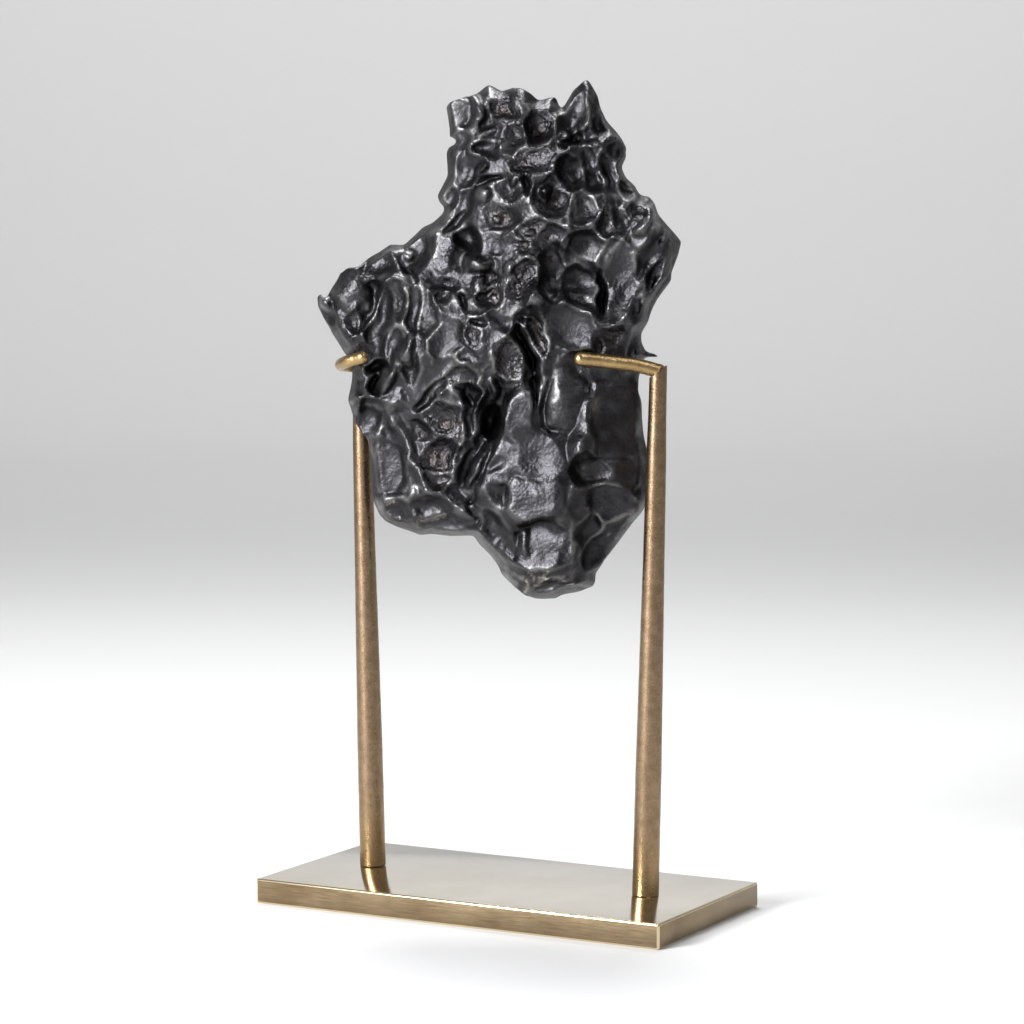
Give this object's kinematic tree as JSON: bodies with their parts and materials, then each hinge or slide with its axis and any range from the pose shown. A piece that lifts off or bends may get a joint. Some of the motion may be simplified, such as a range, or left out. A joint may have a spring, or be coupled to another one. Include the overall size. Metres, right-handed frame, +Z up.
{
  "type": "iron meteorite on a display stand",
  "caption": "Dark scooped iron meteorite held upright by hooked round arms on tapering brass posts over a flat rectangular base plate.",
  "frame": {"origin": "middle of the base plate's underside, on the surface that the stand rests on", "axes": "+Z up, +X to the right along the plate's long side seen from the front, -Y towards the front"},
  "size_m": [0.18, 0.09, 0.3271],
  "materials": {
    "meteoritic_iron": "dark satin iron, glossy on the worn ridges, with faint brown rust in some pits",
    "brushed_brass": "dull brass brushed along the plate's length",
    "golden_brass": "satin golden brass, slightly mottled"
  },
  "bodies": {
    "root": {"meteorite": "meteoritic_iron", "base": "brushed_brass", "left_post": "golden_brass", "right_post": "golden_brass", "left_hook": "golden_brass", "right_hook": "golden_brass"}
  },
  "joints": []
}
